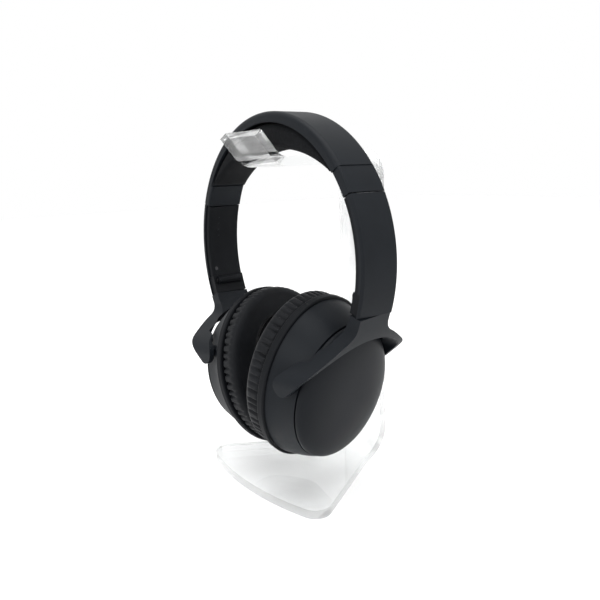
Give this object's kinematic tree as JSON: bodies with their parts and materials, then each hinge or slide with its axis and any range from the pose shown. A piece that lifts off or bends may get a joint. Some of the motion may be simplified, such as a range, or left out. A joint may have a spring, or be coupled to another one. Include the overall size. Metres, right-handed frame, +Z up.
{
  "type": "headphone stand with headphones",
  "caption": "Clear bent-sheet headphone stand holding padded over-ear headphones with sliding, swivelling and tilting ear cups.",
  "frame": {"origin": "on the stand's flat underside, under the cradle where the headband rests", "axes": "+Z up, -Y towards the stand's lip and the side the wearer would face, +X towards the wearer's left ear cup"},
  "size_m": [0.156, 0.1087, 0.2164],
  "materials": {
    "clear_acrylic": "clear cast acrylic, polished faces and edges",
    "shell_black": "fine matte moulded plastic",
    "inner_black": "matte moulded plastic",
    "cap_black": "soft satin moulded plastic",
    "band_fabric": "short-pile suede-like fabric",
    "pad_leather": "soft matte synthetic leather",
    "scrim_fabric": "woven acoustic cloth",
    "spring_steel": "brushed spring steel strip",
    "dark_steel": "blackened steel",
    "film": "thin clear polymer film",
    "board": "green solder mask",
    "cell_wrap": "shrink-wrapped cell"
  },
  "bodies": {
    "stand": {"stand_sheet": "clear_acrylic"},
    "headband": {"headband_cover": "shell_black", "headband_core": "inner_black", "headband_spring": "spring_steel", "headband_cushion": "band_fabric", "end_housing_left": "shell_black", "end_housing_right": "shell_black", "slider_blade_left": "spring_steel", "slider_blade_right": "spring_steel"},
    "arm_left": {"arm_plate_left": "shell_black", "arm_inner_shell_left": "inner_black", "hinge_knuckle_left": "inner_black", "hinge_pin_left": "dark_steel", "swivel_stem_left": "dark_steel", "arm_screws_left": "dark_steel"},
    "yoke_left": {"yoke_left": "shell_black", "pivot_pins_left": "dark_steel"},
    "cup_left": {"cup_body_left": "shell_black", "pad_ring_left": "inner_black", "baffle_left": "inner_black", "scrim_left": "scrim_fabric", "cup_cap_left": "cap_black", "driver_frame_left": "inner_black", "driver_diaphragm_left": "film", "driver_magnet_left": "dark_steel", "ear_pad_left": "pad_leather", "cup_screws_left": "dark_steel", "circuit_board_left": "board"},
    "arm_right": {"arm_plate_right": "shell_black", "arm_inner_shell_right": "inner_black", "hinge_knuckle_right": "inner_black", "hinge_pin_right": "dark_steel", "swivel_stem_right": "dark_steel", "arm_screws_right": "dark_steel"},
    "yoke_right": {"yoke_right": "shell_black", "pivot_pins_right": "dark_steel"},
    "cup_right": {"cup_body_right": "shell_black", "pad_ring_right": "inner_black", "baffle_right": "inner_black", "scrim_right": "scrim_fabric", "cup_cap_right": "cap_black", "driver_frame_right": "inner_black", "driver_diaphragm_right": "film", "driver_magnet_right": "dark_steel", "ear_pad_right": "pad_leather", "cup_screws_right": "dark_steel", "circuit_board_right": "board", "battery_right": "cell_wrap"}
  },
  "joints": [
    {"name": "headphones_lift", "type": "slide", "parent": "stand", "child": "headband", "axis": [0, -0.6559, 0.7549], "range_m": [0, 0.16]},
    {"name": "slider_left", "type": "slide", "parent": "headband", "child": "arm_left", "axis": [0.2275, 0, -0.9738], "range_m": [0, 0.013]},
    {"name": "swivel_left", "type": "hinge", "parent": "arm_left", "child": "yoke_left", "pos_m": [0.07422, 0, 0.11403], "axis": [0.3231, 0, 0.9464], "range_deg": [-10, 78]},
    {"name": "tilt_left", "type": "hinge", "parent": "yoke_left", "child": "cup_left", "pos_m": [0.04763, -0.00204, 0.08106], "axis": [0.1317, -0.9903, -0.045], "range_deg": [0, 18]},
    {"name": "slider_right", "type": "slide", "parent": "headband", "child": "arm_right", "axis": [-0.1193, 0, -0.9929], "range_m": [0, 0.013]},
    {"name": "swivel_right", "type": "hinge", "parent": "arm_right", "child": "yoke_right", "pos_m": [-0.06317, 0, 0.10647], "axis": [0.425, 0, -0.9052], "range_deg": [-6, 10]},
    {"name": "tilt_right", "type": "hinge", "parent": "yoke_right", "child": "cup_right", "pos_m": [-0.03302, 0.00102, 0.07666], "axis": [-0.0631, 0.9976, -0.0296], "range_deg": [0, 18]}
  ]
}
